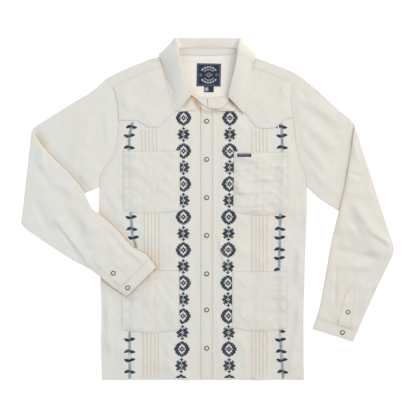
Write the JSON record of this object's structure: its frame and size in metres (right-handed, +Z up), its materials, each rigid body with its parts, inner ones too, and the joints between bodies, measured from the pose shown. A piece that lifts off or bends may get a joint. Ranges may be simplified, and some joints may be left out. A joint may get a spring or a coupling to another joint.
{
  "type": "guayabera shirt",
  "caption": "Long-sleeved guayabera shirt laid flat, sleeves folded at the elbow, with pin tucks, patch pockets, shaped yokes, pointed collar and snap placket.",
  "frame": {"origin": "on the surface that the shirt lies on, below the middle of its outline", "axes": "+X towards the right of someone who looks down at the front, +Y from hem to collar, +Z up from the surface"},
  "size_m": [0.9357, 0.8546, 0.0252],
  "materials": {
    "cream_shirting": "plain woven cotton and linen, matt",
    "navy_cloth": "woven label cloth and embroidery thread, matt",
    "snap_metal": "satin snap rims",
    "snap_pearl": "pearly snap caps"
  },
  "bodies": {
    "root": {"back": "cream_shirting", "back_yoke": "cream_shirting", "front_left": "cream_shirting", "front_right": "cream_shirting", "front_yoke_left": "cream_shirting", "front_yoke_right": "cream_shirting", "placket": "cream_shirting", "collar_leaf": "cream_shirting", "collar_stand": "cream_shirting", "sleeve_left": "cream_shirting", "sleeve_right": "cream_shirting", "cuff_left": "cream_shirting", "cuff_right": "cream_shirting", "sleeve_placket_left": "cream_shirting", "sleeve_placket_right": "cream_shirting", "pocket_upper_left": "cream_shirting", "pocket_upper_right": "cream_shirting", "pocket_lower_left": "cream_shirting", "pocket_lower_right": "cream_shirting", "snap_front_1": "snap_metal", "snap_front_1_cap": "snap_pearl", "snap_front_2": "snap_metal", "snap_front_2_cap": "snap_pearl", "snap_front_3": "snap_metal", "snap_front_3_cap": "snap_pearl", "snap_front_4": "snap_metal", "snap_front_4_cap": "snap_pearl", "snap_front_5": "snap_metal", "snap_front_5_cap": "snap_pearl", "snap_front_6": "snap_metal", "snap_front_6_cap": "snap_pearl", "snap_front_7": "snap_metal", "snap_front_7_cap": "snap_pearl", "snap_sleeve_left_1": "snap_metal", "snap_sleeve_left_1_cap": "snap_pearl", "snap_sleeve_left_2": "snap_metal", "snap_sleeve_left_2_cap": "snap_pearl", "snap_sleeve_right_1": "snap_metal", "snap_sleeve_right_1_cap": "snap_pearl", "snap_sleeve_right_2": "snap_metal", "snap_sleeve_right_2_cap": "snap_pearl", "neck_label": "navy_cloth", "size_tab": "navy_cloth", "pocket_tab": "navy_cloth"}
  },
  "joints": []
}
